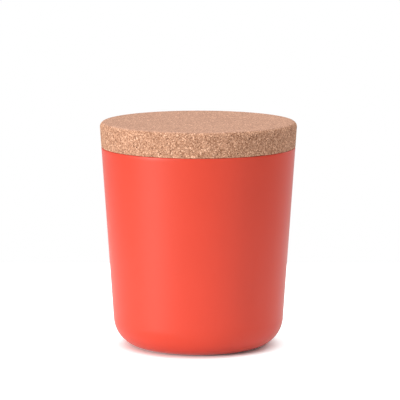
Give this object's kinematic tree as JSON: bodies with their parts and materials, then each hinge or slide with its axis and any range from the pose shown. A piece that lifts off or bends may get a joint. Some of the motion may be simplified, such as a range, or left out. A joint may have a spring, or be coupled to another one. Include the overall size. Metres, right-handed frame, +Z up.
{
  "type": "storage jar",
  "caption": "Round tapered kitchen storage jar with a deep rounded base and a flush push-in cork lid on a lipped sealing ring.",
  "frame": {"origin": "middle of the foot ring, on the surface that the jar stands on", "axes": "+Z up along the jar's own axis, from the base to the cork lid; the jar is round, so +X and +Y are any two level directions"},
  "size_m": [0.1182, 0.1182, 0.136],
  "materials": {
    "moulded_coral": "satin",
    "cork": "matte",
    "silicone": "satin"
  },
  "bodies": {
    "jar": {"jar_body": "moulded_coral"},
    "seal": {"seal_ring": "silicone"},
    "lid": {"lid_cap": "cork", "lid_plug": "cork"}
  },
  "joints": [
    {"name": "lid_lift", "type": "slide", "parent": "jar", "child": "seal", "axis": [0, 0, 1], "range_m": [0, 0.06]},
    {"name": "lid_turn", "type": "hinge", "parent": "seal", "child": "lid", "pos_m": [0, 0, 0.121], "axis": [0, 0, 1], "continuous": true}
  ]
}
